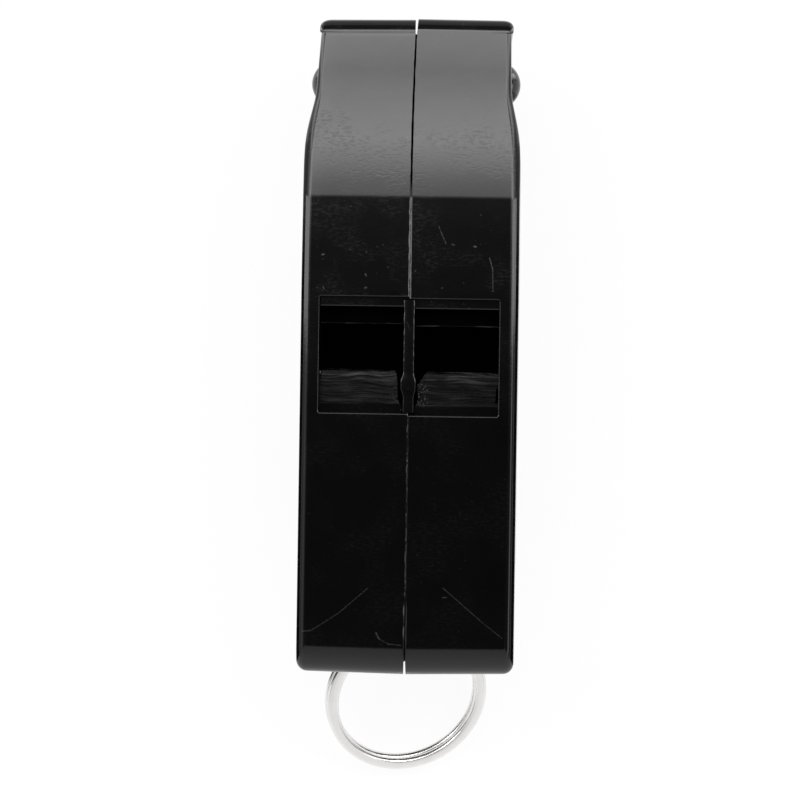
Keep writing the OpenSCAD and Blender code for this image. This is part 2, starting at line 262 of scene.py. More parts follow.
def joined(base, changes):
    """Applies a list of ("cut" or "add", mesh) to a mesh and returns the result as a mesh."""
    thing = as_object("base", base)
    helpers = []
    for kind, mesh in changes:
        helper = as_object("helper", mesh)
        helpers.append(helper)
        change = thing.modifiers.new("change", "BOOLEAN")
        change.operation = "DIFFERENCE" if kind == "cut" else "UNION"
        change.solver = "MANIFOLD"
        change.object = helper
    bpy.context.view_layer.update()
    view = thing.evaluated_get(bpy.context.evaluated_depsgraph_get())
    result = bmesh.new()
    result.from_mesh(view.to_mesh())
    view.to_mesh_clear()
    for extra in [thing] + helpers:
        data = extra.data
        bpy.data.objects.remove(extra)
        bpy.data.meshes.remove(data)
    return result


BEND_START, BEND_SHIFT = 17.0, 0.2


def bent(mesh):
    """Bends the mouthpiece a little to the right, as it came out of the mould."""
    for vert in mesh.verts:
        if vert.co.y > BEND_START:
            vert.co.x += BEND_SHIFT * ((vert.co.y - BEND_START) / (FRONT - BEND_START)) ** 2
    return mesh


def finished(name, mesh, finishes, choose, body, sharp=18.0):
    """Gives each face its finish, scales a mesh to metres, smooths it and fixes it to its body."""
    bmesh.ops.remove_doubles(mesh, verts=mesh.verts, dist=0.003)
    bmesh.ops.dissolve_degenerate(mesh, edges=mesh.edges, dist=0.002)
    bmesh.ops.recalc_face_normals(mesh, faces=mesh.faces)
    for face in mesh.faces:
        face.material_index = choose(face.calc_center_median())
    bmesh.ops.scale(mesh, vec=(MM, MM, MM), verts=mesh.verts)
    thing = as_object(name, mesh)
    thing.data.shade_smooth()
    thing.data.set_sharp_from_angle(angle=radians(sharp))
    soften = thing.modifiers.new("even normals", "WEIGHTED_NORMAL")
    soften.keep_sharp = True
    for finish in finishes:
        thing.data.materials.append(finish)
    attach(thing, body)
    return thing


def nodes_of(owner):
    """Returns a function that adds a node with given inputs and settings to a material or world."""
    owner.use_nodes = True
    tree = owner.node_tree
    tree.nodes.clear()

    def add(kind, inputs=(), **settings):
        node = tree.nodes.new("ShaderNode" + kind)
        for key, value in settings.items():
            setattr(node, key, value)
        for key, value in dict(inputs).items():
            if isinstance(value, bpy.types.NodeSocket):
                tree.links.new(value, node.inputs[key])
            else:
                node.inputs[key].default_value = value
        return node
    return add


def uneven(add, place, scale, detail):
    """Random pattern of about 0 to 1 over a place, with so many waves to the metre."""
    return add("TexNoise", {"Vector": place, "Scale": scale, "Detail": detail}).outputs["Fac"]


def ranged(add, value, low, high, first=0.0, last=1.0):
    """Runs from first to last while a value goes from low to high, and holds at both ends."""
    return add("MapRange", {"Value": value, 1: low, 2: high, 3: first, 4: last}).outputs[0]


def times(add, total, *parts):
    for part in parts:
        total = add("Math", {0: total, 1: part}, operation="MULTIPLY").outputs[0]
    return total


def plus(add, base, part, amount):
    """A base with an amount of a part on top."""
    return add("Math", {0: part, 1: amount, 2: base}, operation="MULTIPLY_ADD").outputs[0]


def larger(add, first, second):
    return add("Math", {0: first, 1: second}, operation="MAXIMUM").outputs[0]


def vector_of(add, operation, first, second, result=0):
    return add("VectorMath", {0: first, 1: second}, operation=operation).outputs[result]


def grey(level):
    return (level, level, level, 1)


def tinted(add, share, first, second):
    """Colour between two colours."""
    return add("MixRGB", {"Fac": share, 1: first, 2: second}).outputs[0]


def shaded(add, relief, strength, distance, inputs):
    """Ends a material: a relief of a height in metres on a shader with the other inputs."""
    bump = add("Bump", {"Strength": strength, "Distance": distance, "Height": relief}).outputs[0]
    shader = add("BsdfPrincipled", {**inputs, "Normal": bump})
    add("OutputMaterial", {"Surface": shader.outputs[0]})


def new_material(name):
    """Material with the function that adds its nodes, and the place of a point on its piece."""
    material = bpy.data.materials.new(name)
    add = nodes_of(material)
    return material, add, add("TexCoord").outputs["Object"]


def line_marks(add, place, marks):
    """Mask of thin straight marks on the top, each as (start, end, half width, strength) in millimetres."""
    flat = vector_of(add, "MULTIPLY", place, (1, 1, 0))
    total = None
    for start, end, half, strength in marks:
        start, end = Vector(start + (0.0,)) * MM, Vector(end + (0.0,)) * MM
        along, length = (end - start).normalized(), (end - start).length
        from_start = vector_of(add, "SUBTRACT", flat, start)
        reach = vector_of(add, "DOT_PRODUCT", from_start, along, "Value")
        held = ranged(add, reach, 0.0, length, 0.0, length)
        foot = add("VectorMath", {0: along, "Scale": held}, operation="SCALE").outputs[0]
        away = vector_of(add, "DISTANCE", from_start, foot, "Value")
        mask = ranged(add, away, 0.4 * half * MM, half * MM, strength, 0.0)
        total = mask if total is None else larger(add, total, mask)
    return total


# Colours of the plastic in linear light: as moulded, where it is mottled, under dust, in the
# haze and in a scratch.
JET, MOTTLED_JET = (0.0006, 0.0006, 0.0007, 1), (0.0014, 0.0014, 0.0015, 1)
DUST, HAZE, SCRATCH = 0.03, 0.011, 0.009


def gloss_plastic(name, seed, marks):
    """Black moulded plastic: near-black, even gloss with smudges on the slope, dust and a few scratches."""
    material, add, place = new_material(name)
    along = add("SeparateXYZ", {0: place}).outputs["Y"]
    height = add("SeparateXYZ", {0: place}).outputs["Z"]
    shift = vector_of(add, "ADD", place, (seed, seed * 0.7, seed * 0.3))
    mottle = uneven(add, shift, 240.0, 3.0)
    grain = uneven(add, shift, 5200.0, 2.0)
    on_top = ranged(add, height, 0.0142, 0.0146)
    # Smudges and pits on the slope, where fingers and teeth reach.
    drawn = vector_of(add, "MULTIPLY", shift, (0.4, 1.0, 1.0))
    streaks = uneven(add, drawn, 5500.0, 2.0)
    begin = ranged(add, along, 0.0128, 0.015)
    cease = ranged(add, along, 0.020, 0.024, 1.0, 0.12)
    patch = ranged(add, mottle, 0.44, 0.56, 0.2, 1.0)
    worn = times(add, ranged(add, streaks, 0.50, 0.64), begin, cease, patch, on_top)
    # Scratches, broken up along their length.
    broken = ranged(add, grain, 0.36, 0.5, 0.35, 1.0)
    scratch = times(add, line_marks(add, place, marks), broken, on_top)
    # Dust: a few small grains, most of them in front of the windows.
    cell = add("TexVoronoi", {"Vector": shift, "Scale": 2100.0})
    grains = ranged(add, cell.outputs["Distance"], 0.09, 0.20, 1.0, 0.0)
    chance = add("SeparateXYZ", {0: cell.outputs["Color"]}).outputs["X"]
    near = ranged(add, along, 0.0, 0.006, 0.2, 1.0)
    dust = times(add, grains, ranged(add, chance, 0.84, 0.98), near)
    # Faint haze of fine rubs in patches in front of the windows.
    rubs = times(add, ranged(add, streaks, 0.46, 0.72), ranged(add, mottle, 0.48, 0.62), near)
    tint = tinted(add, mottle, JET, MOTTLED_JET)
    tint = tinted(add, dust, tint, grey(DUST))
    tint = tinted(add, rubs, tint, grey(HAZE))
    tint = tinted(add, scratch, tint, grey(SCRATCH))
    rough = plus(add, ranged(add, along, -0.007, 0.004, 0.085, 0.115), mottle, 0.03)
    rough = plus(add, rough, worn, 0.11)
    rough = plus(add, rough, scratch, 0.2)
    relief = plus(add, mottle, grain, 0.10)
    relief = plus(add, relief, worn, -0.17)
    shaded(add, relief, 0.8, 0.00002, {"Base Color": tint, "Roughness": rough, "IOR": 1.5})
    return material


# The inside, darker than the outside as painted shade, from its grain's hollows to its tops; the blade where
# it is dull, and where it is rubbed and paler as a painted lip highlight.
SHADED_INSIDE_DARK, SHADED_INSIDE_PALE, BLADE_JET, BLADE_RUB_AND_HIGHLIGHT = 0.0002, 0.0006, (0.0007, 0.0007, 0.0008, 1), 0.075


def shaded_inside(name):
    """Inner walls as they leave the mould: dull black with a fine grain, made blacker and far less glossy
    than the outside as painted shade in the chambers.
    """
    material, add, place = new_material(name)
    grain = uneven(add, place, 3000.0, 3.0)
    # Darker than the outside's black: painted shade for the chambers and for the plate between the shells.
    tint = tinted(add, grain, grey(SHADED_INSIDE_DARK), grey(SHADED_INSIDE_PALE))
    rough = ranged(add, grain, 0.0, 1.0, 0.65, 0.85)
    shaded(add, grain, 0.3, 0.00003, {"Base Color": tint, "Roughness": rough, "IOR": 1.06})
    return material


def scraped_blade(name, seed, torn):
    """The blades were trimmed across their width, which leaves dull streaks and paler rubs; the rubs grow
    paler towards the lip as a painted highlight.
    """
    material, add, place = new_material(name)
    split = add("SeparateXYZ", {0: place})
    shift = vector_of(add, "ADD", place, (seed, seed, 0.0))
    # Long streaks across the blade that bow a little.
    bow = times(add, uneven(add, shift, 260.0, 1.0), 0.0009)
    moved = vector_of(add, "ADD", shift, add("CombineXYZ", {"Y": bow}).outputs[0])
    drawn = vector_of(add, "MULTIPLY", moved, (260.0, 4200.0, 600.0))
    streak = add("TexNoise", {"Vector": drawn, "Scale": 1.0, "Detail": 4.0, "Roughness": 0.6})
    streak = streak.outputs["Fac"]
    cloud = uneven(add, shift, 800.0, 3.0)
    # Rubs painted paler towards the lip as the lip's highlight, and torn into grains at the end beside the
    # seam.
    lip = ranged(add, split.outputs["Y"], -0.0034, -0.0025, 0.2, 1.0)
    bright = times(add, ranged(add, streak, 0.50, 0.64), cloud, lip)
    outward = add("Math", {0: split.outputs["X"]}, operation="ABSOLUTE").outputs[0]
    near_end = ranged(add, outward, 0.0011, 0.0018, torn, 0.0)
    crumbs = times(add, ranged(add, uneven(add, shift, 5200.0, 1.0), 0.55, 0.68), near_end)
    # The pale colour is partly real rubs and partly a painted highlight along the lip.
    tint = tinted(add, larger(add, crumbs, bright), BLADE_JET, grey(BLADE_RUB_AND_HIGHLIGHT))
    rough = ranged(add, cloud, 0.3, 0.7, 0.24, 0.34)
    relief = plus(add, streak, crumbs, 1.5)
    shaded(add, relief, 1.0, 0.00004, {"Base Color": tint, "Roughness": rough, "IOR": 1.16})
    return material


# Finishes by index: the outside gloss, the inside in painted shade, and the blade with a painted highlight at
# its lip.
OUTSIDE, INSIDE, BLADE = 0, 1, 2
# Where the faces of a blade lie: its run past the ledge, its depths and how far out it goes.
BLADE_RUN, BLADE_DEPTHS, BLADE_OUT = (0.02, 3.1), (0.8, 1.5), 7.8
# The rounded edge of the windway's floor, which shows through the window; it takes the blade finish, whose
# pale streaks paint a highlight along it.
FLOOR_EDGE_PLACE, FLOOR_EDGE_REACH, FLOOR_EDGE_DEPTHS = 1.8, 0.18, (2.69, 2.81)
# Faces deeper than this and further in than the wall are inside, but for the notch and the ends.
INSIDE_DEPTH, INSIDE_WALL, INSIDE_END, NOTCH_BEHIND, NOTCH_UNDER = 1.29, 1.5, 28.6, -19.5, 10.7


def shell_finish(middle):
    """Finish of a shell's face from its middle."""
    x, y, z = abs(middle.x), middle.y, middle.z
    down, up = top(y) - z, z - under(y)
    for depth, rear in ((down, WINDOW_REAR), (up, UNDER_WINDOW_REAR)):
        run = y - rear - LEDGE
        if BLADE_RUN[0] < run < BLADE_RUN[1] and BLADE_DEPTHS[0] < depth < BLADE_DEPTHS[1] and x < BLADE_OUT:
            return BLADE
    if abs(y - FLOOR_EDGE_PLACE) < FLOOR_EDGE_REACH and FLOOR_EDGE_DEPTHS[0] < down < FLOOR_EDGE_DEPTHS[1]:
        return BLADE
    in_notch = y < NOTCH_BEHIND and z < NOTCH_UNDER
    if min(down, up) > INSIDE_DEPTH and x < side(y) - INSIDE_WALL and abs(y) < INSIDE_END and not in_notch:
        return INSIDE
    return OUTSIDE


# The long edges, which are sharper on the mouthpiece and where the rear corners turn in.
LONG_EDGE, TIP_EDGE, LEAST_EDGE, TIP_EDGE_RUN, REAR_EDGE_RUN = 0.85, 0.5, 0.25, (18.0, 6.0), -27.0
# The mouthpiece narrows a little towards its underside, and both ends lean with the mould.
TIP_LEAN, TIP_LEAN_RUN = 0.022, (24.5, 3.0)
END_RUN, REAR_DRAFT, TIP_DRAFT = (24.0, 4.0), 0.018, -0.008
# From here on, the moulding is stretched or pressed to the place of its tip.
TIP_STRETCH = 20.0


def body_blank(tip, groove):
    """Half of the body on the +X side as a solid, closed along the seam plane."""
    quarter, closest = pi / 2, 0.006
    flat_end, bend, bent_down, run_end = SLOPES[0][0], SLOPES[2][0], SLOPES[3][0], SLOPES[-2][0]
    places = set(between(REAR_BEND, flat_end, 10) + between(flat_end, bend, 12) + between(bend, bent_down, 8))
    places |= set(between(bent_down, run_end, 66) + between(run_end, NOSE_START, 18))
    places |= {REAR_BEND - (REAR_BEND - REAR) * sin(a) for a in between(0.0, quarter, 18)}
    places |= {REAR + CORNER_ROUND * (1.0 - sin(a)) for a in between(0.0, quarter, 10)}
    places |= {FRONT - NOSE_ROUND * (1.0 - sin(a)) for a in between(TIP_FALL, quarter, 16)}
    places |= {FRONT - BEAD_ROUND * (1.0 - cos(a)) for a in between(0.0, quarter, 12)}
    places |= {BEAD_START + BEAD_BACK * (1.0 - cos(a)) for a in between(0.0, quarter, 8)}
    places |= {BEAD_START - 0.01}
    kept = [REAR]
    for y in sorted(places):
        if y - kept[-1] > closest:
            kept.append(y)
    kept[-1] = FRONT
    rings = []
    for y in kept:
        wide, high, low = moulded_side(y), moulded_top(y, groove), moulded_under(y)
        turned_in = max(0.0, HALF_WIDTH - wide) if y < REAR_EDGE_RUN else 0.0
        edge = LONG_EDGE + (TIP_EDGE - LONG_EDGE) * run_share(y, *TIP_EDGE_RUN)
        edge = max(LEAST_EDGE, edge - turned_in)
        wall = high - low - 2.0 * edge
        foot = wide - TIP_LEAN * run_share(y, *TIP_LEAN_RUN) * wall
        ring = [(x, high) for x in between(0.0, wide - edge, 5)]
        ring += arc((wide - edge, high - edge), edge, 90.0, 0.0, 10)[1:]
        ring += [(wide + (foot - wide) * i / 4, high - edge - wall * i / 4) for i in range(1, 5)]
        ring += arc((foot - edge, low + edge), edge, 0.0, -90.0, 8)[1:]
        ring += [(x, low) for x in between(foot - edge, 0.0, 5)[1:]]
        draft = run_share(abs(y), *END_RUN) * (REAR_DRAFT if y < 0 else TIP_DRAFT)
        moved = y
        if y > TIP_STRETCH:
            moved = TIP_STRETCH + (y - TIP_STRETCH) * (tip - TIP_STRETCH) / (FRONT - TIP_STRETCH)
        rings.append([(x, moved + draft * x, z) for x, z in ring])
    return lofted(rings)


PIP_BALL, PIP_MIDDLE, PIP_PLACE, PIP_HEIGHT = 2.15, 7.2, 23.45, 12.035


def grip_pip():
    """Low round pip on the side of the mouthpiece, blended into the wall at its foot."""
    profile = [(6.6, 1.95), (8.2, 1.93), (8.3, 1.88)]
    profile += [(PIP_MIDDLE + PIP_BALL * cos(a), PIP_BALL * sin(a)) for a in between(0.97, 0.02, 18)]
    return stacked([(x, circle((PIP_PLACE, PIP_HEIGHT), radius)) for x, radius in profile])


def blade_line(start):
    """Blade surface from its crease to the lip and round under it, as (y, depth) points."""
    line = [(start - 0.12, STEP), (start - 0.06, STEP - 0.005), (start, STEP - 0.007)]
    line.append((start + 0.06, STEP + 0.002))
    line += [(start + y, STEP + y * tan(BLADE_FALL)) for y in (0.4, 0.9, 1.4, 1.9, 2.3)]
    lip = [(2.45, 1.078), (2.58, 1.10), (2.7, 1.13), (2.8, 1.165), (2.88, 1.205), (2.94, 1.26), (2.98, 1.33),
           (3.0, 1.45), (3.0, 1.7), (2.97, 1.82), (2.9, 1.88), (2.8, BLADE_UNDER)]
    return line + [(start + y, depth) for y, depth in lip]


# Each chamber's rear end and floor, both inner faces, as (y, z).
UPPER_CHAMBER, LOWER_CHAMBER, CHAMBER_FRONT = (-27.2, 12.0), (-18.2, 10.6), 16.0
FLOOR_BACK, FLOOR_BEND, FLOOR_MEET, ROOF_SOFT = 1.5, 11.0, 17.4, 0.12


def air_space(window_rear, chamber, line):
    """Window shaft, chamber and start of the windway under an outer line, as (y, z) points."""
    window_front = window_rear + WINDOW_LENGTH
    roof_edge = window_front - LEDGE
    floor_edge = roof_edge - FLOOR_BACK

    def deep(y, depth):
        return (y, line(y, depth))
    path = [chamber, (CHAMBER_FRONT, chamber[1])]
    path += [deep(y, FLOOR_UNDER) for y in between(CHAMBER_FRONT, FLOOR_BEND, 10)]
    path += [deep(floor_edge, FLOOR_UNDER), deep(floor_edge, WINDWAY_FLOOR + 0.1)]
    path += [deep(floor_edge + 0.03, WINDWAY_FLOOR + 0.03), deep(floor_edge + 0.1, WINDWAY_FLOOR)]
    path += [deep(y, WINDWAY_FLOOR) for y in between(FLOOR_BEND, FLOOR_MEET, 20)]
    path += [deep(y, WINDWAY_ROOF) for y in between(FLOOR_MEET, FLOOR_BEND, 20)]
    path += [deep(roof_edge, WINDWAY_ROOF), deep(roof_edge, STEP + ROOF_SOFT)]
    path += [deep(roof_edge + ROOF_SOFT * (1 - cos(a)), STEP + ROOF_SOFT * (1 - sin(a)))
             for a in between(0.3, pi / 2, 5)]
    path += [deep(window_front, STEP), deep(window_front, -OVERRUN)]
    path += [deep(window_rear, -OVERRUN), deep(window_rear, STEP)]
    path += [deep(y, depth) for y, depth in blade_line(window_rear + LEDGE)]
    path.append(deep(chamber[0], BLADE_UNDER))
    return path


def blade_level(y, window_rear):
    return HEIGHT - STEP - max(0.0, y - window_rear - LEDGE) * tan(BLADE_FALL)


def end_gap(edge, window_rear, rough, seed):
    """Cut through a blade between a fixed line near the land and its torn or moulded inner edge."""
    near_land, step, apart = 0.2, 0.22, 0.31
    rings = []
    for grow, lift in ((0.0, -1.4), (0.0, -0.07), (0.02, -0.025), (0.06, 0.0), (0.3, 0.12)):
        ring = [(near_land, edge[0][1]), (near_land, edge[-1][1])]
        for i, (x, y) in enumerate(reversed(edge)):
            ring.append((x + grow + rough * wander(y + apart * i, step, seed), y))
        rings.append([(x, y, blade_level(y, window_rear) + lift) for x, y in ring])
    return lofted(rings)


def finer(edge, step):
    """The same broken line with points at about every step along it."""
    line = [edge[0]]
    for (x0, y0), (x1, y1) in zip(edge, edge[1:]):
        count = max(1, round(hypot(x1 - x0, y1 - y0) / step))
        line += [(x0 + (x1 - x0) * i / count, y0 + (y1 - y0) * i / count) for i in range(1, count + 1)]
    return line


def burr(points, wide, tall, window_rear, seed):
    """Torn sliver of plastic that stands along a line of (x, y) points on a blade."""
    step, least, end_part, rooted = 0.07, 0.25, 0.25, 0.25
    line = finer(points, step)
    rings = []
    for i, (x, y) in enumerate(line):
        end = min(i, len(line) - 1 - i) / (end_part * len(line))
        size = least + (1.0 - least) * min(1.0, end)
        half = wide * size * (1.0 + 0.5 * wander(y, 0.2, seed))
        base = blade_level(y, window_rear)
        peak = base + tall * size * (1.0 + 0.8 * wander(y, 0.15, seed + 2.0))
        middle = x + 0.4 * wide * wander(y, 0.3, seed + 4.0)
        rings.append([(middle - half, y, base - rooted), (middle + half, y, base - rooted),
                      (middle + 0.9 * half, y, base + 0.2 * (peak - base)),
                      (middle + 0.5 * half, y, peak - 0.02), (middle - 0.1 * half, y, peak),
                      (middle - 0.8 * half, y, base + 0.35 * (peak - base))])
    return lofted(rings)


NOTCH_FRONT, NOTCH_ROOF, NOTCH_EDGE, NOTCH_CORNER = -20.0, 10.5, 1.2, 2.5
# Where the notch breaks out of a side: the start of its soft edge, the edge, and the flare beyond it.
NOTCH_WIDE, NOTCH_SOFT, NOTCH_FLARE = 9.15, 0.375, (10.5, 1.1)


def notch_cut():
    """Room for the ring under the rear end, with soft edges where it breaks out of the sides."""
    behind, ahead = REAR - 2.0, NOTCH_FRONT + 1.5
    corner = (NOTCH_FRONT - NOTCH_CORNER, NOTCH_ROOF - NOTCH_CORNER)
    widths = [(-OVERRUN, 0.0), (NOTCH_WIDE, 0.0)]
    widths += [(NOTCH_WIDE + NOTCH_SOFT * sin(a), NOTCH_SOFT * (1 - cos(a)))
               for a in between(0.2, 1.36, 6)]
    widths.append(NOTCH_FLARE)
    sections = []
    for x, grow in widths:
        ring = [(behind, -OVERRUN), (ahead, -OVERRUN), (ahead, -0.01)]
        ring += arc((NOTCH_FRONT + NOTCH_EDGE, NOTCH_EDGE), NOTCH_EDGE - grow, 268.0, 180.0, 8)
        ring += arc(corner, NOTCH_CORNER + grow, 0.0, 90.0, 10)
        ring += arc((REAR + NOTCH_EDGE, NOTCH_ROOF + NOTCH_EDGE), NOTCH_EDGE - grow, 270.0, 180.0, 8)
        sections.append((x, ring + [(behind, NOTCH_ROOF + NOTCH_EDGE)]))
    return stacked(sections)


# The centre plate as its seat follows it: its ends, its edges and how deep it lies under the slope.
PLATE_HALF, PLATE_REAR, PLATE_FRONT, PLATE_TOP, PLATE_DEPTH = 0.45, -27.8, 27.6, 19.0, 1.0
PLATE_LOW, PLATE_LOW_FRONT, PLATE_STEP, PLATE_CORNER = 11.3, 10.835, 17.0, 1.1
LAND_REAR, LAND_FRONT = -6.0, 4.0
NECK_REAR, NECK_FRONT, NECK_LOW, NECK_TOP, NECK_ROOM_LOW = -28.3, -22.9, 9.8, 11.35, 9.0


def plate_outline(gap):
    """Side view of the centre plate, grown by a gap. It is open at the top for the land."""
    line = [(PLATE_REAR - gap, PLATE_LOW - gap), (PLATE_STEP - gap, PLATE_LOW - gap)]
    line += [(PLATE_STEP - gap, PLATE_LOW_FRONT - gap), (PLATE_FRONT + gap, PLATE_LOW_FRONT - gap)]
    line += [(y, top(y, PLATE_DEPTH - gap)) for y in between(PLATE_FRONT + gap, TOP_LINE["start"], 24)]
    line += [(LAND_FRONT, PLATE_TOP + gap), (LAND_FRONT, HEIGHT + OVERRUN)]
    line += [(LAND_REAR, HEIGHT + OVERRUN), (LAND_REAR, PLATE_TOP + gap)]
    corner = (PLATE_REAR + PLATE_CORNER - gap, PLATE_TOP - PLATE_CORNER + gap)
    return line + arc(corner, PLATE_CORNER, 90.0, 180.0, 8)


# The seam in the top: where it opens towards the tip and towards the rear, its half gap where
# it is welded, what both ends add, and how far its lips flare and sink.
SEAM_FRONT, SEAM_REAR = (13.4, 1.6), (21.8, 1.2)
SEAM_HALF, SLOPE_MORE, REAR_MORE, SEAM_LEAST = 0.018, 0.06, 0.03, 0.012
LIP_FLARE, LIP_SUNK, LIP_WELD_FLARE, LIP_WELD_SUNK, REAR_LIP_SHARE = 0.02, 0.02, 0.085, 0.04, 0.4


def seam_cut(seed):
    """Gap along the top of the seam: open on the slope, nearly closed by the weld further back."""
    rings = []
    for y in between(REAR - 2.0, FRONT + 2.0, 310):
        surface = moulded_top(y)
        slope, rear = run_share(y, *SEAM_FRONT), run_share(-y, *SEAM_REAR)
        welded = (1.0 - slope) * max(1.0 if y > WINDOW_REAR else REAR_LIP_SHARE, rear)
        gap = SEAM_HALF + SLOPE_MORE * slope + REAR_MORE * rear + 0.012 * wander(y, 0.7, seed)
        flare = LIP_FLARE + LIP_WELD_FLARE * welded + 0.012 * wander(y, 0.5, seed + 5.0)
        sunk = LIP_SUNK + LIP_WELD_SUNK * welded
        gap, flare = max(gap, SEAM_LEAST), max(flare, SEAM_LEAST)
        rings.append([(-OVERRUN, y, PLATE_LOW), (gap, y, PLATE_LOW), (gap, y, surface - sunk),
                      (gap + 1.6 * flare, y, surface + 0.6 * sunk), (-OVERRUN, y, surface + 0.6 * sunk)])
    return lofted(rings)


def weld_ridge(start, stop, wide, seed):
    """Thin ragged ridge that the weld squeezed up along the seam."""
    step, rooted, foot, shoulder = 0.09, 0.25, 0.065, 0.016
    rings = []
    for y in between(start, stop, round((stop - start) / step)):
        surface = moulded_top(y)
        peak = surface - 0.012 - 0.022 * abs(wander(y, 0.35, seed))
        peak -= 0.03 * max(0.0, wander(y, 1.4, seed + 1.0))
        half = wide * (1.0 + 0.35 * wander(y, 0.4, seed + 2.0))
        middle = 0.02 + 0.02 * wander(y, 1.1, seed + 3.0)
        rings.append([(middle - half, y, surface - rooted), (middle + half, y, surface - rooted),
                      (middle + half, y, surface - foot), (middle + 0.6 * half, y, peak - shoulder),
                      (middle, y, peak), (middle - 0.6 * half, y, peak - shoulder),
                      (middle - half, y, surface - foot)])
    return lofted(rings)


def end_slit(near, far, near_half, far_half, level, slant):
    """Open slit where the halves stand apart beyond the plate; its wall leans by the slant."""
    rings = []
    for y, half in ((near, near_half), (far, far_half)):
        foot = half + slant * (level + OVERRUN)
        rings.append([(-OVERRUN, y, -OVERRUN), (foot, y, -OVERRUN), (half, y, level),
                      (half, y, HEIGHT + OVERRUN), (-OVERRUN, y, HEIGHT + OVERRUN)])
    return lofted(rings)


def under_groove():
    """Hairline groove where the halves meet along the underside."""
    half, deep, mouth, slope_out = 0.012, 0.07, (0.07, -0.01), (0.6, -0.5)
    rings = []
    for y in between(-21.0, 30.0, 120):
        surface = moulded_under(min(y, FRONT))
        rings.append([(-OVERRUN, y, surface + deep), (half, y, surface + deep),
                      (mouth[0], y, surface + mouth[1]), (slope_out[0], y, surface + slope_out[1]),
                      (-OVERRUN, y, surface + slope_out[1])])
    return lofted(rings)


PIT_FLOOR, PIT_CORNER, PIT_RIM = 19.12, 0.16, 0.11
WINDWAY_RUN = (17.2, 29.6)


def half_shell(tip, shift, groove, slant, ends, burrs, seed):
    """One half on the +X side with its chambers, seats, seam and torn blade ends."""
    window_rear, inner, seat = WINDOW_REAR + shift, HALF_WIDTH - SIDE_WALL, PLATE_HALF + SEAT_GAP
    pit = rounded_pit(-OVERRUN, inner, window_rear, WINDOW_FRONT + shift, PIT_FLOOR, HEIGHT, PIT_CORNER,
                      PIT_RIM)
    neck_room = oblong(NECK_REAR - SEAT_GAP, NECK_FRONT + SEAT_GAP, NECK_ROOM_LOW, NECK_TOP + SEAT_GAP)
    changes = [
        ("add", grip_pip()),
        ("cut", across(air_space(window_rear, UPPER_CHAMBER, top), -OVERRUN, inner)),
        ("cut", across(air_space(UNDER_WINDOW_REAR, LOWER_CHAMBER, under), -OVERRUN, inner)),
        ("cut", pit),
        ("cut", windway(top, *WINDWAY_RUN, 50)),
        ("cut", windway(under, *WINDWAY_RUN, 50)),
        ("cut", notch_cut()),
        ("cut", seam_cut(seed)),
        ("cut", under_groove()),
        ("cut", end_slit(PLATE_FRONT, FRONT + 2.0, 0.075, 0.15, 16.5, slant)),
        ("cut", end_slit(REAR - 2.0, PLATE_REAR, 0.1, 0.06, HEIGHT, slant)),
        ("cut", across(plate_outline(SEAT_GAP), -OVERRUN, seat)),
        ("cut", across(neck_room, -OVERRUN, seat)),
    ]
    changes += [("cut", end_gap(edge, window_rear, rough, seed)) for edge, rough in ends]
    changes += [("add", burr(points, wide, tall, window_rear, seed + wide)) for points, wide, tall in burrs]
    return joined(body_blank(tip, groove), changes)


def rod(radius, y, z, low, high, edge):
    """Round peg or hole across the body, with a softened far end."""
    soft = 0.3 * edge
    ends = ((low, radius), (high - edge, radius), (high - soft, radius - soft), (high, radius - edge))
    return stacked([(x, circle((y, z), r)) for x, r in ends])


def mirrored(mesh):
    bmesh.ops.scale(mesh, vec=(-1, 1, 1), verts=mesh.verts)
    bmesh.ops.reverse_faces(mesh, faces=mesh.faces)
    return mesh


# Scratches on the top as ((x, y), (x, y), half width, strength), and where the blade's inner end
# runs beside the land, with its burrs as (line, width, height).
LEFT_MARKS = [
    ((-3.31, -21.38), (-5.79, -23.56), 0.06, 0.9), ((-5.79, -23.56), (-8.18, -25.13), 0.06, 0.8),
    ((-8.2, -25.16), (-9.05, -25.22), 0.07, 0.9), ((-2.51, -25.28), (-2.24, -25.79), 0.08, 1.6),
    ((-2.2, -25.82), (-1.44, -26.23), 0.07, 0.8), ((-1.44, -26.23), (-0.35, -26.32), 0.06, 1.0),
    ((-7.7, 7.8), (-7.55, 7.84), 0.1, 2.2), ((-3.9, 6.14), (-3.8, 5.98), 0.09, 1.8),
    ((-3.95, 4.9), (-3.8, 4.98), 0.09, 1.6), ((-7.6, 5.0), (-7.5, 4.8), 0.07, 1.2)]
LEFT_END = [(0.60, -6.0), (0.62, -5.6), (0.60, -5.45), (0.74, -5.15), (0.88, -4.75), (0.87, -4.1),
            (0.93, -3.5), (1.0, -2.9), (1.07, -2.55), (1.22, -2.3), (1.42, -2.19), (1.7, -2.1), (1.7, -1.6)]
LEFT_BURRS = [([(7.72, -2.95), (7.74, -2.3)], 0.06, 0.16), ([(0.66, -5.95), (0.62, -5.6)], 0.05, 0.12),
              ([(0.98, -3.3), (0.96, -4.1), (0.94, -4.9), (0.78, -5.3)], 0.035, 0.05)]
# Weld ridges as (start, stop, half width, seed), and how far the halves are out of line.
WELD_RIDGES = [(8.0, 12.95, 0.055, 2.0), (4.35, 7.9, 0.03, 4.0), (-21.5, -6.45, 0.05, 6.0)]
OUT_OF_LINE, LEFT_TIP, LEFT_GROOVE, LEFT_SLANT = 0.085, 28.93, 0.006, 0.04

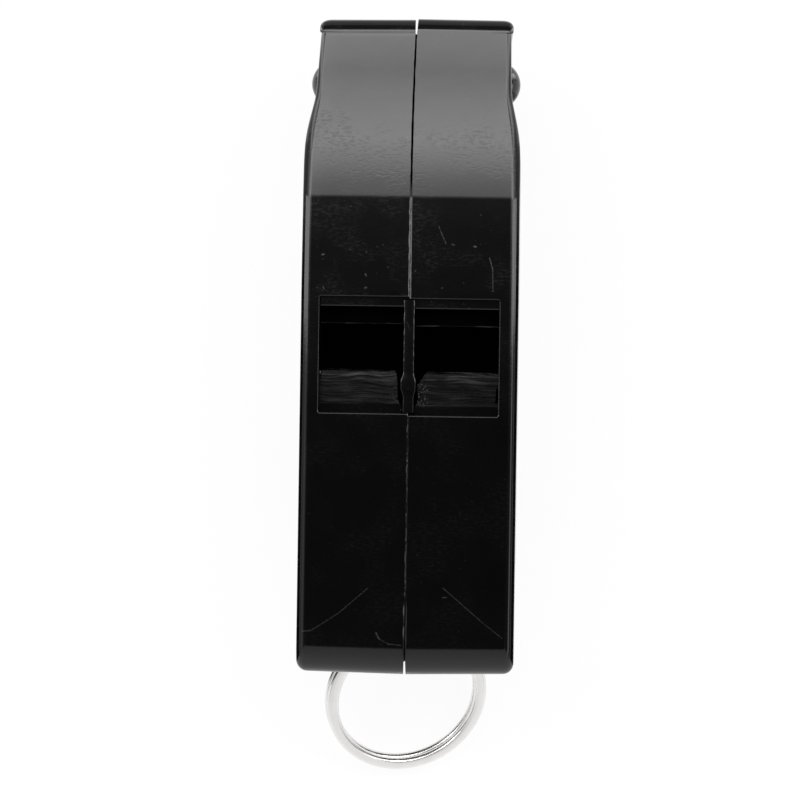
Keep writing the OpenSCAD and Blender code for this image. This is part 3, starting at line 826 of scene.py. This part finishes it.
left_plastic = gloss_plastic("left shell plastic", 3.1, LEFT_MARKS)
inside = shaded_inside("shell inside")
left_ends = [(finer(LEFT_END, 0.12), 0.012)]
left_mesh = half_shell(LEFT_TIP, OUT_OF_LINE, LEFT_GROOVE, LEFT_SLANT, left_ends, LEFT_BURRS, 11.0)
left_mesh = bent(mirrored(left_mesh))
for place in PEG_PLACES:
    peg = rod(PEG_RADIUS, place, PEG_HEIGHT, -PEG_REACH, PEG_REACH, PEG_EDGE)
    left_mesh = joined(left_mesh, [("add", peg)])
left_mesh = joined(left_mesh, [("add", mirrored(weld_ridge(*ridge))) for ridge in WELD_RIDGES])
left_finishes = [left_plastic, inside, scraped_blade("left blade", 1.3, 0.25)]
left_shell = finished("left_shell_moulding", left_mesh, left_finishes, shell_finish, "whistle")
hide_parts("left_shell")


# Flat gloss black ABS moulding between the halves. It divides the two upper chambers, its
# land shows between the windows, and the eye for the ring hangs under the rear end from it.
# The pegs of the left half pass through it.
EYE_PLACE, EYE_OUTER, EYE_BORE, EYE_TOP = (-25.6, 7.2), 2.7, 1.5, 10.4
LUG_HALF, LUG_EDGE, MOUTH_ROUND, MOUTH_FLARE = 1.0, 0.3, 0.25, (1.3, 0.55)
LAND_HALF, LAND_LOW, LAND_SIDE, LAND_ROUND, LAND_ENDS = 0.48, 18.6, 19.87, 0.11, 0.1
# The bulges of the land, right and left, as (side, how far, place), and their half length.
BULGES, BULGE_LENGTH = ((1, 0.17, -3.55), (-1, 0.22, -3.5)), 0.78
GLOSS_UNDER, GLOSS_OVER = 10.6, 19.2


def land():
    """Top of the plate between the windows, with soft edges and an uneven bulge near the lips."""
    rings = []
    for y in between(LAND_REAR, LAND_FRONT, 110):
        end = min(y - LAND_REAR, LAND_FRONT - y)
        drop = LAND_ENDS - round_height(LAND_ENDS, max(0.0, LAND_ENDS - end))
        ring = []
        for sign, swell, centre in BULGES:
            bulge = swell * exp(-((y - centre) / BULGE_LENGTH) ** 4)
            wide = LAND_HALF + bulge + 0.012 * wander(y, 0.5, 3.0 + sign)
            half = [(sign * wide, LAND_LOW), (sign * wide, LAND_SIDE - 0.01 - drop)]
            half += [(sign * (wide - LAND_ROUND * (1 - cos(a))), LAND_SIDE - drop + LAND_ROUND * sin(a))
                     for a in between(0.3, pi / 2, 5)]
            ring += half if sign == 1 else list(reversed(half))
        rings.append([(x, y, z) for x, z in ring])
    return lofted(rings)


def eye_lug():
    """Thicker lug that carries the bore, with rounded edges."""
    widths = [(-LUG_HALF + LUG_EDGE * (1 - sin(a)), LUG_EDGE * (1 - cos(a)))
              for a in between(pi / 2, 0.0, 6)]
    widths += [(-x, inset) for x, inset in reversed(widths)]
    sections = []
    for x, inset in widths:
        radius = EYE_OUTER - inset
        ring = [(EYE_PLACE[0] + radius, EYE_TOP), (EYE_PLACE[0] - radius, EYE_TOP)]
        sections.append((x, ring + arc(EYE_PLACE, radius, 180.0, 360.0, 36)))
    return stacked(sections)


def bore():
    """Hole through the lug, flared at both mouths."""
    mouths = [(-MOUTH_FLARE[0], MOUTH_FLARE[1])]
    mouths += [(-LUG_HALF + MOUTH_ROUND * sin(a), MOUTH_ROUND * (1 - cos(pi / 2 - a)))
               for a in between(0.12, pi / 2, 6)]
    mouths += [(-x, grow) for x, grow in reversed(mouths)]
    return stacked([(x, circle(EYE_PLACE, EYE_BORE + grow, 64)) for x, grow in mouths])


def plate_finish(middle):
    """The land and the eye are gloss, and what lies between the shells takes the inside finish: matt as
    moulded, and darkened as painted shade.
    """
    return INSIDE if GLOSS_UNDER <= middle.z <= GLOSS_OVER else OUTSIDE


plate_flat = [(y, min(z, PLATE_TOP)) for y, z in plate_outline(0.0)]
plate_neck = across(oblong(NECK_REAR, NECK_FRONT, NECK_LOW, NECK_TOP), -PLATE_HALF, PLATE_HALF)
plate_changes = [("add", land()), ("add", plate_neck), ("add", eye_lug()), ("cut", bore())]
for place in PEG_PLACES:
    plate_changes.append(("cut", rod(PEG_RADIUS + SEAT_GAP, place, PEG_HEIGHT, -OVERRUN, OVERRUN, 0.0)))
plate_mesh = joined(across(plate_flat, -PLATE_HALF, PLATE_HALF), plate_changes)
plate_finishes = [gloss_plastic("plate plastic", 8.7, [((-0.2, 2.0), (0.1, 1.2), 0.05, 0.5)]), inside]
plate = finished("centre_plate_moulding", bent(plate_mesh), plate_finishes, plate_finish, "whistle")
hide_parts("centre_plate")


# Right half of the body, the mirror of the left in the same gloss black ABS, with blind
# holes for the left half's pegs. It sits a little out of line with the left half.
RIGHT_MARKS = [
    ((3.3, -21.25), (6.7, -24.15), 0.06, 0.9), ((6.7, -24.15), (8.5, -25.55), 0.06, 0.8),
    ((3.25, -22.1), (3.6, -22.06), 0.07, 1.1), ((6.95, 7.7), (7.25, 6.7), 0.07, 1.9),
    ((7.25, 6.7), (7.29, 4.75), 0.06, 1.2), ((2.48, 10.4), (2.8, 9.6), 0.06, 1.2),
    ((2.8, 9.6), (3.12, 8.9), 0.06, 1.3), ((5.6, 8.68), (5.74, 8.66), 0.1, 2.6),
    ((3.68, 8.84), (3.82, 8.8), 0.08, 1.8)]
RIGHT_END = [(0.53, -6.1), (0.54, -5.4), (0.62, -5.15), (0.72, -5.0), (0.85, -4.5), (0.78, -4.2),
             (0.72, -4.0), (0.72, -3.6), (0.76, -3.4), (0.93, -3.24), (1.15, -2.95), (1.42, -2.55),
             (1.55, -2.4), (1.6, -2.2), (1.6, -1.7)]
RIGHT_BURRS = [([(0.86, -5.05), (0.9, -4.75)], 0.08, 0.08), ([(0.8, -4.1), (0.8, -3.5)], 0.035, 0.05),
               ([(1.0, -5.5), (1.5, -5.3)], 0.05, 0.05)]
# Gap at the outer end of the right blade, as (x, y) points, and the levels that it runs between.
OUTER_GAP, OUTER_GAP_LEVELS = [(7.62, -5.0), (7.95, -5.0), (7.95, -3.75), (7.7, -3.75)], (18.3, 19.3)

right_plastic = gloss_plastic("right shell plastic", 5.3, RIGHT_MARKS)
right_ends = [(finer(RIGHT_END, 0.07), 0.03)]
right_mesh = half_shell(FRONT, -OUT_OF_LINE, 0.0, 0.0, right_ends, RIGHT_BURRS, 23.0)
outer_gap = lofted([[(x, y, z) for x, y in OUTER_GAP] for z in OUTER_GAP_LEVELS])
right_mesh = joined(right_mesh, [("cut", outer_gap)])
for place in PEG_PLACES:
    socket = rod(PEG_RADIUS + SEAT_GAP, place, PEG_HEIGHT, -OVERRUN, PEG_REACH + SEAT_GAP, 0.1)
    right_mesh = joined(right_mesh, [("cut", socket)])
right_finishes = [right_plastic, inside, scraped_blade("right blade", 4.9, 1.0)]
right_shell = finished("right_shell_moulding", bent(right_mesh), right_finishes, shell_finish, "whistle")
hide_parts("right_shell")


# Key ring of nickel-plated spring steel wire, flat with rounded edges, wound two turns with
# one crossing and pushed through the eye. It hangs back and rests on the surface.
RING_REACH, WIRE_WIDTH, WIRE_THICK, TURN_PITCH = 6.95, 1.1, 0.75, 0.8
TWO_TURNS, CROSS_HALF, CROSS_PLACE = 720.0, 12.0, 50.0
RING_FALL, RING_LEAN, RING_SLID = 25.5066, 15.5, 2.7
# How the wire's ends are rounded off, as (degrees from the end, share of its section).
END_SHARES = ((0.0, 0.55), (0.25, 0.8), (0.7, 0.94), (1.3, 1.0))
WHOLE_FROM = 2.0


def wire_ring():
    """Wire wound in two turns that change level at the crossing, laid in its place in the eye."""
    edge = (WIRE_WIDTH - WIRE_THICK) / 2
    section = [(edge + x, z) for x, z in arc((0.0, 0.0), WIRE_THICK / 2, -90.0, 90.0, 11)]
    section += [(x - edge, z) for x, z in arc((0.0, 0.0), WIRE_THICK / 2, 90.0, 270.0, 11)]
    first, last = CROSS_HALF, TWO_TURNS - CROSS_HALF
    places = [(first + d, s) for d, s in END_SHARES]
    places += [(a, 1.0) for a in between(first + WHOLE_FROM, last - WHOLE_FROM, 420)]
    places += [(last - d, s) for d, s in reversed(END_SHARES)]
    rings = []
    for angle, size in places:
        rise = run_share(angle, TWO_TURNS / 2 - CROSS_HALF, 2 * CROSS_HALF)
        rise = rise * rise * (3.0 - 2.0 * rise)
        height = TURN_PITCH * (rise - 0.5)
        a = radians(angle)
        ring = []
        for x, z in section:
            radius = RING_REACH + x * size
            ring.append((radius * cos(a), radius * sin(a), height + z * size))
        rings.append(ring)
    mesh = lofted(rings)
    place = Matrix.Translation((0.0, EYE_PLACE[0], EYE_PLACE[1]))
    for angle, axis in ((RING_FALL, "X"), (RING_LEAN, "Y"), (-RING_SLID, "Z")):
        place = place @ Matrix.Rotation(radians(angle), 4, axis)
    place = place @ Matrix.Translation((0.0, -RING_REACH, 0.0))
    place = place @ Matrix.Rotation(radians(90.0 - CROSS_PLACE), 4, "Z")
    bmesh.ops.transform(mesh, matrix=place, verts=mesh.verts)
    return mesh


def plated_metal(name):
    """Bright nickel plate over drawn wire: fine uneven gloss and dull spots."""
    material, add, place = new_material(name)
    cloud = uneven(add, place, 700.0, 4.0)
    fine = uneven(add, place, 9000.0, 2.0)
    rough = ranged(add, cloud, 0.3, 0.75, 0.18, 0.30)
    tint = tinted(add, cloud, (0.88, 0.87, 0.86, 1), (0.78, 0.77, 0.76, 1))
    shaded(add, fine, 0.2, 0.00002, {"Base Color": tint, "Metallic": 1.0, "Roughness": rough})
    return material


ring = finished("split_ring_wire", wire_ring(), [plated_metal("nickel plate")], lambda middle: 0, "ring",
                sharp=50.0)
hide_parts("split_ring")


# White table under a studio sky: a broad soft light in front above the mouthpiece, dark
# overhead, dim behind, and a soft box along each side. Flags and cards beside the body, which
# only its gloss sees, keep its lower edges dark and light the edges of the mouthpiece.
TABLE_REACH, TABLE_LEVEL, WHITE_SHARE = 3.0, -0.0001, 0.92
# In metres: how far from the middle they stand, their two ends and their height.
FLAG_AWAY, FLAG_ENDS, FLAG_TOP, FRONT_FLAG = 0.016, (-0.031, 0.020), 0.0203, 0.045
CARD_AWAY, CARD_ENDS, CARD_TOP = 0.030, (0.0295, 0.0415), 0.050
BOX_AWAY, BOX_PLACE, BOX_HEIGHT, BOX_SIZE, BOX_LIGHT = 0.11, 0.017, 0.110, (0.026, 0.179), 3.1


def stage_plane(name, corners, paint):
    mesh = bmesh.new()
    mesh.faces.new([mesh.verts.new(c) for c in corners])
    thing = as_object(name, mesh)
    thing.data.materials.append(paint)
    return thing


def only_gloss(plane):
    """Hides a plane from everything but mirror-like reflections."""
    plane.visible_camera = False
    plane.visible_diffuse = False
    plane.visible_shadow = False
    plane.visible_transmission = False


def upright(name, away, ends, height, paint):
    """Upright plane along the body, from the table to a height."""
    corners = [(away, y, z) for y, z in oblong(*ends, 0.0, height)]
    only_gloss(stage_plane(name, corners, paint))


def glowing(name, start, stop, dim, bright):
    """Paint that glows from dim to bright between two places along the body."""
    paint, add, place = new_material(name)
    along = add("SeparateXYZ", {0: place}).outputs["Y"]
    glow = add("Emission", {"Strength": ranged(add, along, start, stop, dim, bright)})
    add("OutputMaterial", {"Surface": glow.outputs[0]})
    return paint


def white_table(name):
    """Matt white that shows plain white to the camera and in reflections, with a little shadow kept."""
    paint = bpy.data.materials.new(name)
    add = nodes_of(paint)
    rays = add("LightPath").outputs
    seen = add("Math", {0: rays["Is Camera Ray"], 1: rays["Is Glossy Ray"]}, operation="ADD").outputs[0]
    seen = add("Math", {0: seen, 1: rays["Is Transmission Ray"]}, operation="ADD", use_clamp=True)
    matt = add("BsdfDiffuse", {"Color": grey(0.9)}).outputs[0]
    white = add("Emission", {"Color": grey(1.0), "Strength": 1.0}).outputs[0]
    share = times(add, seen.outputs[0], WHITE_SHARE)
    add("OutputMaterial", {"Surface": add("MixShader", {0: share, 1: matt, 2: white}).outputs[0]})
    return paint


reach = oblong(-TABLE_REACH, TABLE_REACH, -TABLE_REACH, TABLE_REACH)
stage_plane("table", [(x, y, TABLE_LEVEL) for x, y in reach], white_table("white table"))

flag_paint = glowing("dark flag", 0.007, 0.019, 0.02, 0.5)
card_paint = glowing("white card", 0.031, 0.0365, 0.7, 4.4)
for sign in (-1, 1):
    upright("side flag", sign * FLAG_AWAY, FLAG_ENDS, FLAG_TOP, flag_paint)
corners = [(x, FRONT_FLAG, z) for x, z in oblong(-FLAG_AWAY, FLAG_AWAY, 0.0, FLAG_TOP)]
only_gloss(stage_plane("front flag", corners, flag_paint))
for sign in (-1, 1):
    upright("side card", sign * CARD_AWAY, CARD_ENDS, CARD_TOP, card_paint)


def soft_box(name, place, aim, size, radiance):
    """Rectangular area lamp; size is its width along the horizontal and its other side, in metres."""
    lamp = bpy.data.lights.new(name, "AREA")
    lamp.shape = "RECTANGLE"
    lamp.size, lamp.size_y = size
    lamp.energy = radiance * pi * size[0] * size[1]
    thing = bpy.data.objects.new(name, lamp)
    thing.location = place
    thing.rotation_euler = (Vector(aim) - Vector(place)).to_track_quat("-Z", "Y").to_euler()
    thing.visible_camera = False
    bpy.context.scene.collection.objects.link(thing)


for sign in (-1, 1):
    place = (sign * BOX_AWAY, BOX_PLACE, BOX_HEIGHT)
    soft_box("side box", place, (0.0, BOX_PLACE, BOX_HEIGHT), BOX_SIZE, BOX_LIGHT)

# The sky's brightness by the angle from straight up, in each quarter.
SKY_SCALE = 6.0
FRONT_SKY = [(0, 0.05), (3, 0.06), (8, 0.25), (14, 0.5), (16, 1.6), (20, 2.0), (22, 2.2), (24, 2.6),
             (25.6, 3.2), (27, 3.7), (28.5, 4.3), (30, 4.7), (31.5, 5.1), (33, 5.6), (35, 5.9), (40, 5.9),
             (42, 0.3), (44, 0.15), (78, 0.15), (82, 1.0), (90, 1.0)]
ASKEW_SKY = [(0, 0.05), (8, 0.2), (16, 1.2), (24, 2.6), (30, 4.4), (34, 5.4), (38, 4.6), (44, 3.1), (54, 1.6),
             (66, 0.95), (79, 0.4), (90, 0.4)]
REAR_SKY = [(0, 0.03), (8, 0.05), (12, 0.6), (20, 0.65), (40, 0.75), (60, 0.9), (90, 1.0)]
LEFT_SKY = [(0, 0.04), (22, 0.05), (30, 0.25), (42, 0.75), (55, 0.7), (65, 0.45), (74, 0.4), (78, 0.2),
            (82, 1.0), (90, 1.0)]
RIGHT_SKY = [(0, 0.04), (44, 0.12), (48, 1.8), (56, 1.8), (60, 0.25), (78, 0.2), (82, 1.0), (90, 1.0)]

world = bpy.data.worlds.new("studio")
bpy.context.scene.world = world
add = nodes_of(world)
direction = add("TexCoord").outputs["Generated"]
upness = add("SeparateXYZ", {0: direction}).outputs["Z"]


def sky_level(stops):
    """Brightness over the height of the sky, from (angle, brightness) stops."""
    ramp = add("ValToRGB", {"Fac": upness})
    band = ramp.color_ramp
    stops = [(cos(radians(a)), level / SKY_SCALE) for a, level in reversed(stops)]
    band.elements.remove(band.elements[-1])
    band.elements[0].position = stops[0][0]
    band.elements[0].color = grey(stops[0][1])
    for place, level in stops[1:]:
        band.elements.new(place).color = grey(level)
    return ramp.outputs["Color"]


# Each quarter takes over from the last where the sideways part of the direction turns to it.
turn = vector_of(add, "MULTIPLY", direction, (1, 1, 0))
turn = add("VectorMath", {0: turn}, operation="NORMALIZE").outputs[0]
turn = add("SeparateXYZ", {0: turn})
sky = tinted(add, ranged(add, turn.outputs["X"], -0.1, 0.1), sky_level(LEFT_SKY), sky_level(RIGHT_SKY))
sky = tinted(add, ranged(add, turn.outputs["Y"], 0.1, 0.3), sky, sky_level(ASKEW_SKY))
sky = tinted(add, ranged(add, turn.outputs["Y"], 0.68, 0.85), sky, sky_level(FRONT_SKY))
sky = tinted(add, ranged(add, turn.outputs["Y"], -0.35, -0.7), sky, sky_level(REAR_SKY))
air = add("Background", {"Color": sky, "Strength": SKY_SCALE}).outputs[0]
add("OutputWorld", {"Surface": air})


# Camera about a third of a metre above the top, leaning a little to the right. It is turned
# so that the mouthpiece points up the picture and slightly to the right.
CAMERA_AIM = Vector((-0.706, -4.845, HEIGHT)) * MM
CAMERA_AWAY, CAMERA_LEAN, CAMERA_TURN = 0.330, radians(2.0), radians(0.84)
FOCAL_LENGTH, FILM_WIDTH = 169.6, 36.0
toward = Vector((sin(CAMERA_LEAN), 0.0, cos(CAMERA_LEAN)))
upward = Vector((-sin(CAMERA_TURN), cos(CAMERA_TURN), 0.0))
upward = (upward - toward * upward.dot(toward)).normalized()
sideways = upward.cross(toward)
lens = bpy.data.cameras.new("camera")
lens.lens, lens.sensor_width = FOCAL_LENGTH, FILM_WIDTH
lens.clip_start, lens.clip_end = 0.01, 10.0
camera = bpy.data.objects.new("camera", lens)
camera.matrix_world = Matrix.Translation(CAMERA_AIM + toward * CAMERA_AWAY) @ Matrix(
    (sideways, upward, toward)).transposed().to_4x4()
bpy.context.scene.collection.objects.link(camera)
bpy.context.scene.camera = camera
bpy.context.scene.view_settings.view_transform = "Standard"
